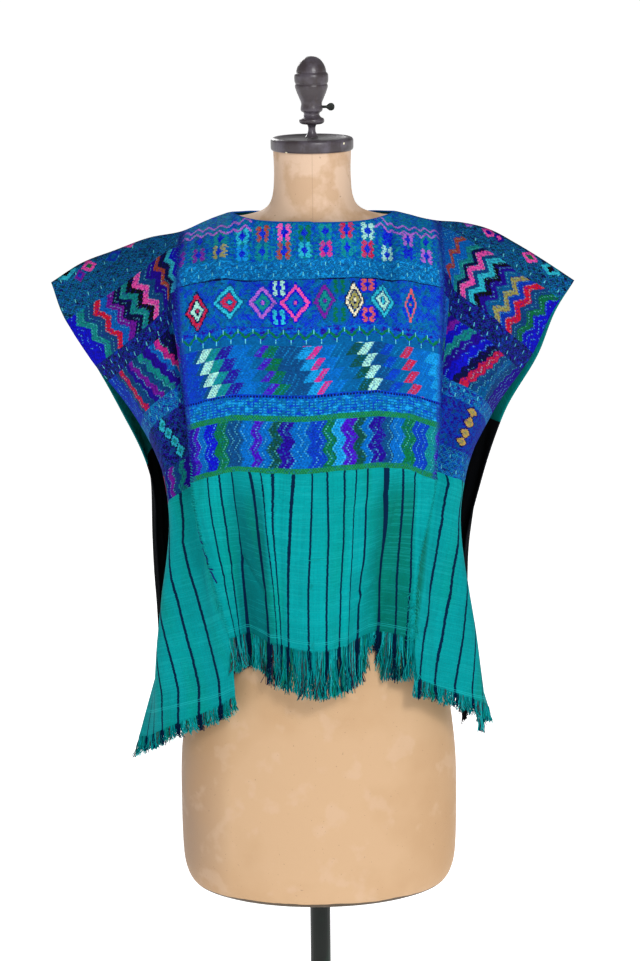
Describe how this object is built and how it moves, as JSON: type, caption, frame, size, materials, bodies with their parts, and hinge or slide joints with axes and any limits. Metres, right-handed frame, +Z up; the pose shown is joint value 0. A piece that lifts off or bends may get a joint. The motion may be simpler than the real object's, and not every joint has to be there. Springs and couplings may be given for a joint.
{
  "type": "brocaded huipil poncho on a limbless dress form with a stand",
  "caption": "Brocaded huipil poncho of hand-sewn woven lengths with fringed hems, worn by a limbless dress form on a pole and round base.",
  "frame": {"origin": "on the floor under the middle of the round base", "axes": "+Z up, -Y towards the garment's front, +X to the right as seen from the front"},
  "size_m": [0.6848, 0.4, 1.5241],
  "materials": {
    "front_brocade": "matte brocade in blue, teal and bright accents over striped teal cloth",
    "back_brocade": "matte brocade in blue and teal",
    "black_cloth": "matte plain weave",
    "teal_fringe": "matte loose warp ends",
    "black_fringe": "matte loose warp ends",
    "form_canvas": "aged canvas over papier mache",
    "dark_wood": "dark satin",
    "dark_iron": "dark green-black satin paint"
  },
  "bodies": {
    "root": {"left_front": "front_brocade", "left_back_yoke": "back_brocade", "left_back_skirt": "black_cloth", "left_front_fringe": "teal_fringe", "left_back_fringe": "black_fringe", "centre_front": "front_brocade", "centre_back_yoke": "back_brocade", "centre_back_skirt": "black_cloth", "centre_front_fringe": "teal_fringe", "centre_back_fringe": "black_fringe", "right_front": "front_brocade", "right_back_yoke": "back_brocade", "right_back_skirt": "black_cloth", "right_front_fringe": "teal_fringe", "right_back_fringe": "black_fringe", "form_torso": "form_canvas", "neck_cap": "dark_wood", "finial": "dark_wood", "thumb_screw": "dark_iron", "pole": "dark_iron", "base": "dark_iron"}
  },
  "joints": []
}
